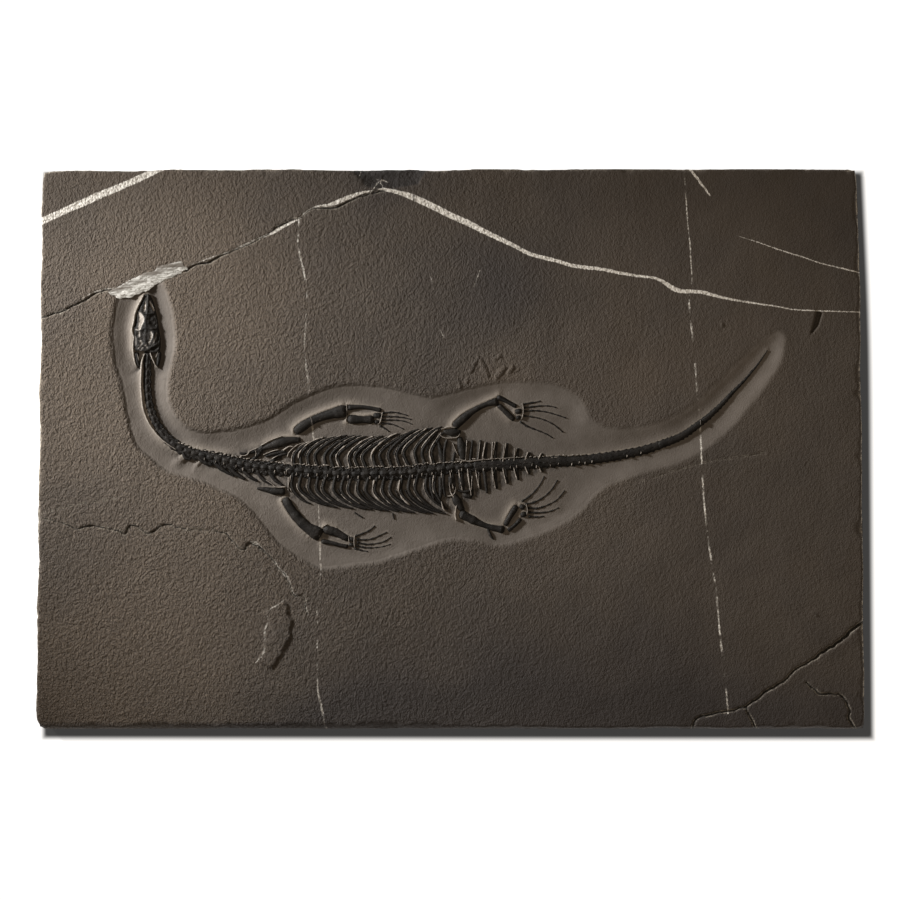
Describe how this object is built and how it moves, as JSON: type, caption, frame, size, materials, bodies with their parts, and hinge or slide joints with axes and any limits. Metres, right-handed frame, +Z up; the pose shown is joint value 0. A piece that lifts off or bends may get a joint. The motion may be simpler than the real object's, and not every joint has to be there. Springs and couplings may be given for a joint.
{
  "type": "keichousaurus fossil",
  "caption": "Long-necked marine reptile skeleton lying in the prepared trough of a broken limestone slab, with a white calcite seam above its snout.",
  "frame": {"origin": "middle of the slab's underside, which is the bottom centre of the box", "axes": "+X along the slab from the skull's end to the tail's end, +Y across the slab, +Z up out of the face that shows the skeleton"},
  "size_m": [0.315, 0.213, 0.0188],
  "materials": {
    "matrix": "matt, pebbled by the preparator's tool, smooth in the trough",
    "bone": "near black fossil bone with a slight gloss",
    "calcite": "broken white calcite"
  },
  "bodies": {
    "root": {"matrix_slab": "matrix", "calcite_seam": "calcite", "skull": "bone", "left_jaw": "bone", "right_jaw": "bone", "neck": "bone", "backbone_and_ribs": "bone", "tail": "bone", "right_clavicle": "bone", "right_scapula": "bone", "right_neck_plate": "bone", "left_clavicle": "bone", "right_ilium": "bone", "right_ischium": "bone", "left_ilium": "bone", "right_humerus": "bone", "right_radius": "bone", "right_ulna": "bone", "right_outer_wrist": "bone", "right_inner_wrist": "bone", "right_finger_1": "bone", "right_finger_2": "bone", "right_finger_3": "bone", "right_finger_4": "bone", "right_finger_5": "bone", "left_humerus": "bone", "left_radius": "bone", "left_ulna": "bone", "left_outer_wrist": "bone", "left_inner_wrist": "bone", "left_finger_1": "bone", "left_finger_2": "bone", "left_finger_3": "bone", "left_finger_4": "bone", "left_finger_5": "bone", "right_femur": "bone", "right_tibia": "bone", "right_fibula": "bone", "right_outer_ankle": "bone", "right_inner_ankle": "bone", "right_toe_1": "bone", "right_toe_2": "bone", "right_toe_3": "bone", "right_toe_4": "bone", "right_toe_5": "bone", "left_femur": "bone", "left_tibia": "bone", "left_fibula": "bone", "left_outer_ankle": "bone", "left_inner_ankle": "bone", "left_toe_1": "bone", "left_toe_2": "bone", "left_toe_3": "bone", "left_toe_4": "bone", "left_toe_5": "bone"}
  },
  "joints": []
}
